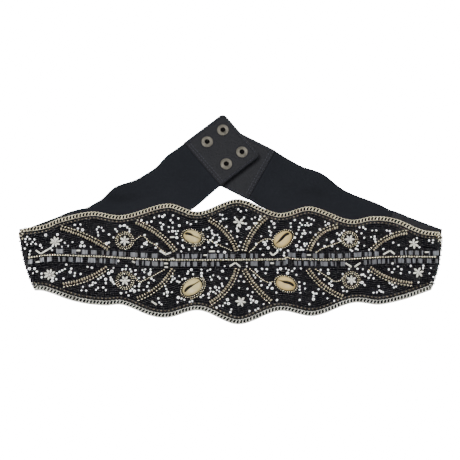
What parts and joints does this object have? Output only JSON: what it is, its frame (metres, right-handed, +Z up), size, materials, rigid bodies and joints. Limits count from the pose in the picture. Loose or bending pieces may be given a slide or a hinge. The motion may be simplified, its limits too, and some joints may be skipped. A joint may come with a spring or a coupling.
{
  "type": "beaded belt",
  "caption": "Beaded waist belt: a lobed panel of seed beads with chain edges, metal bead motifs and cowrie shells, closed behind by wide elastic straps and press studs.",
  "frame": {"origin": "on the floor under the middle of the whole belt, as it lies flat with its face up", "axes": "+X along the panel to the wearer's left as the picture shows it, +Y from the panel's lower edge towards the clasp, +Z up from the floor through the panel's face"},
  "size_m": [0.4224, 0.2176, 0.0122],
  "materials": {
    "backing_cloth": "matte black cloth",
    "black_beads": "glossy opaque black glass seed beads",
    "pale_gold": "pale champagne metal, polished",
    "silver_metal": "silver-toned metal, polished",
    "bronze_metal": "bronze-toned metal beads, polished",
    "cowrie": "smooth cream shell",
    "leatherette": "fine-grained charcoal leatherette",
    "elastic": "dark ribbed elastic webbing",
    "nickel": "antique nickel"
  },
  "bodies": {
    "root": {"panel_backing": "backing_cloth", "bead_field": "black_beads", "chain_top": "pale_gold", "chain_bottom": "silver_metal", "leaf_upper_1": "bronze_metal", "leaf_upper_2": "bronze_metal", "leaf_upper_3": "bronze_metal", "leaf_upper_4": "bronze_metal", "leaf_upper_5": "bronze_metal", "leaf_upper_6": "bronze_metal", "leaf_lower_1": "bronze_metal", "leaf_lower_2": "bronze_metal", "leaf_lower_3": "bronze_metal", "leaf_lower_4": "bronze_metal", "leaf_lower_5": "bronze_metal", "leaf_lower_6": "bronze_metal", "star_upper_left": "silver_metal", "star_upper_middle": "silver_metal", "star_upper_right": "silver_metal", "star_lower_left": "silver_metal", "star_lower_middle": "silver_metal", "star_lower_right": "silver_metal", "medallion_upper_left_ring": "pale_gold", "medallion_upper_left_star": "silver_metal", "shell_upper_left": "cowrie", "shell_upper_left_ring": "pale_gold", "medallion_upper_right_ring": "pale_gold", "medallion_upper_right_star": "silver_metal", "shell_upper_right": "cowrie", "shell_upper_right_ring": "pale_gold", "medallion_lower_left_ring": "pale_gold", "medallion_lower_left_star": "silver_metal", "shell_lower_left": "cowrie", "shell_lower_left_ring": "pale_gold", "medallion_lower_right_ring": "pale_gold", "medallion_lower_right_star": "silver_metal", "shell_lower_right": "cowrie", "shell_lower_right_ring": "pale_gold", "centre_line": "pale_gold", "tab_left": "leatherette", "elastic_left": "elastic", "patch_left": "leatherette", "tab_right": "leatherette", "elastic_right": "elastic", "patch_right": "leatherette", "snap_1": "nickel", "stud_1": "nickel", "snap_2": "nickel", "stud_2": "nickel", "snap_3": "nickel", "stud_3": "nickel", "snap_4": "nickel", "stud_4": "nickel"}
  },
  "joints": []
}
